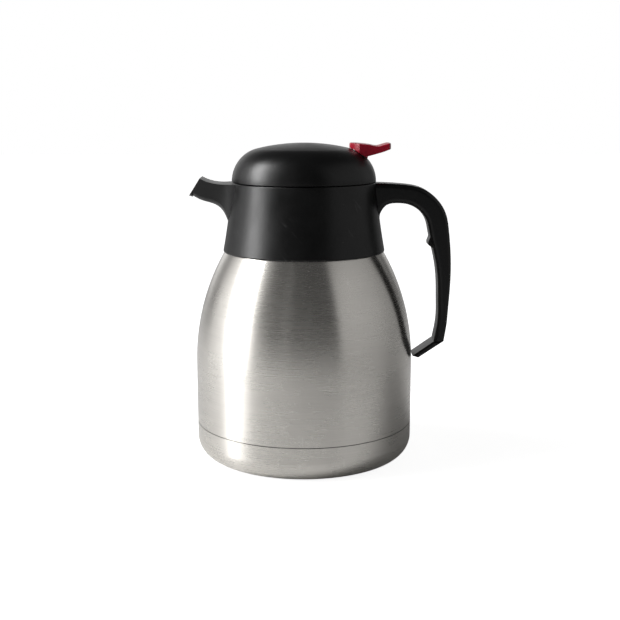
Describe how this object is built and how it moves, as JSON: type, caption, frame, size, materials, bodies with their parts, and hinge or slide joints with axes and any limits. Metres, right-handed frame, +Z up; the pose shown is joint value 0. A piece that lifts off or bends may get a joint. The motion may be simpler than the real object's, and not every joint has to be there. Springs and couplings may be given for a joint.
{
  "type": "thermal carafe",
  "caption": "Steel vacuum carafe with a moulded collar, spout and handle, and a screw-in domed stopper whose thumb lever lifts a pouring valve.",
  "frame": {"origin": "on the flask's axis, in the plane of the foot ring that stands on the table", "axes": "+Z up along the flask's axis, the spout towards -X, the handle towards +X"},
  "size_m": [0.1698, 0.142, 0.2052],
  "materials": {
    "steel": "brushed round the axis",
    "steel_inside": "satin, electropolished",
    "hardware": "plain",
    "black_plastic": "fine satin moulding",
    "grey_plastic": "smooth moulding",
    "red_plastic": "glossy moulding",
    "silicone": "matte"
  },
  "bodies": {
    "vessel": {"outer_shell": "steel", "inner_flask": "steel_inside", "vacuum_base": "steel_inside", "getter": "hardware", "base_cup": "steel", "neck_gasket": "silicone", "collar": "black_plastic"},
    "stopper_seal": {"stopper_seal": "silicone"},
    "lid": {"lid_dome": "black_plastic", "lid_deck": "grey_plastic", "lid_screws": "hardware", "stopper_plug": "grey_plastic", "stem_wiper": "silicone", "lever_pin": "hardware"},
    "lever": {"lever": "red_plastic"},
    "valve": {"valve_seal": "silicone", "valve_disc": "grey_plastic", "valve_stem": "hardware", "stem_cap": "grey_plastic", "valve_spring": "hardware"}
  },
  "joints": [
    {"name": "lid_rise", "type": "slide", "parent": "vessel", "child": "stopper_seal", "axis": [0, 0, 1], "range_m": [0, 0.0091]},
    {"name": "lid_turn", "type": "hinge", "parent": "stopper_seal", "child": "lid", "pos_m": [0, 0, 0.18078], "axis": [0, 0, 1], "range_deg": [0, 270]},
    {"name": "lever_press", "type": "hinge", "parent": "lid", "child": "lever", "pos_m": [0.0375, 0, 0.19928], "axis": [0, 1, 0], "range_deg": [0, 10], "stiffness_Nm_per_rad": 1.1, "springref_deg": -9.74},
    {"name": "valve_lift", "type": "slide", "parent": "lid", "child": "valve", "axis": [0, 0, 1], "range_m": [0, 0.0068], "deforming": ["valve_spring"]}
  ],
  "couplings": [
    {"joint": "lid_rise", "follows": "lid_turn", "m_per_rad": 0.0019099},
    {"joint": "valve_lift", "follows": "lever_press", "m_per_rad": 0.03844}
  ]
}
